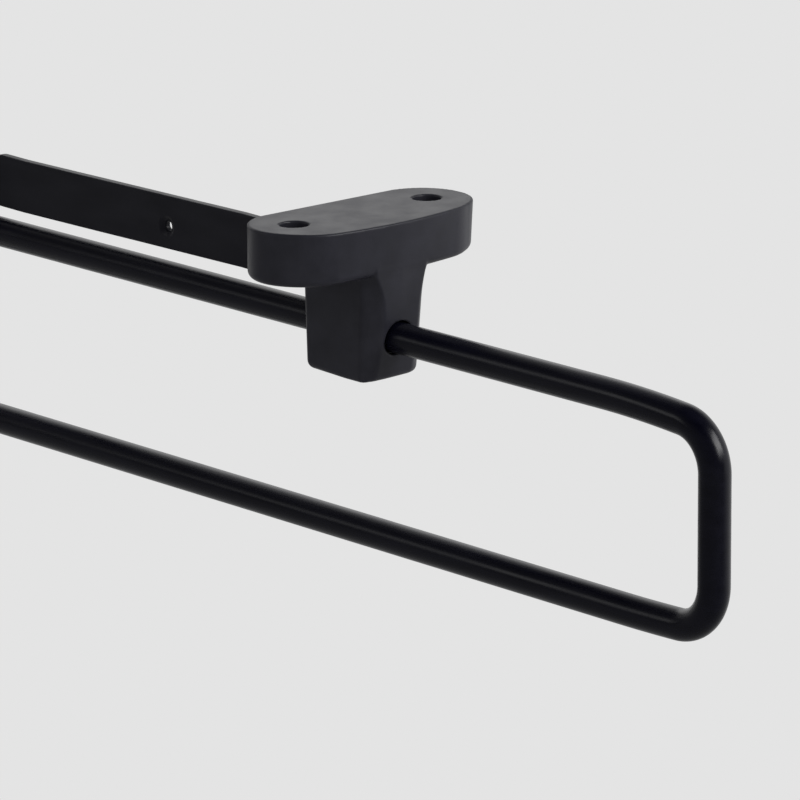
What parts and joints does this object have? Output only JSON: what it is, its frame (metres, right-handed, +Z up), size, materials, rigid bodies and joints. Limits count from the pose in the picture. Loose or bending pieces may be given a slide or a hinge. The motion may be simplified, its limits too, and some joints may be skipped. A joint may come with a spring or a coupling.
{
  "type": "pull-out closet rod",
  "caption": "Pull-out closet rod: a bent round-rod loop slides through moulded brackets fixed under a shelf, guided by a flat bar above it.",
  "frame": {"origin": "middle of the front bracket's top face, between its two shelf screw holes", "axes": "+X the way the loop pulls out, +Y along the front bracket's row of screw holes, +Z up towards the shelf"},
  "size_m": [0.5, 0.0664, 0.0908],
  "materials": {
    "bracket_plastic": "moulded, fine matte grain, charcoal",
    "slider_plastic": "moulded, low sheen, black",
    "rod_paint": "powder coated steel, satin black",
    "bar_paint": "powder coated steel strip, satin black",
    "bush_plastic": "turned acetal, black",
    "buffer_rubber": "moulded rubber, matte black",
    "zinc_steel": "zinc plated steel"
  },
  "bodies": {
    "fixed_frame": {"front_bracket": "bracket_plastic", "rear_bracket": "bracket_plastic", "front_bush": "bush_plastic", "rear_bush": "bush_plastic", "guide_bar": "bar_paint", "front_bar_screw": "zinc_steel", "rear_bar_screw": "zinc_steel"},
    "pull_out_loop": {"rod_loop": "rod_paint", "slide_rider": "slider_plastic", "rider_pin": "zinc_steel", "front_buffer": "buffer_rubber", "rear_buffer": "buffer_rubber", "rear_end_piece": "slider_plastic", "upper_end_screw": "zinc_steel", "lower_end_screw": "zinc_steel"}
  },
  "joints": [
    {"name": "loop_slide", "type": "slide", "parent": "fixed_frame", "child": "pull_out_loop", "axis": [1, 0, 0], "range_m": [0, 0.143]}
  ]
}
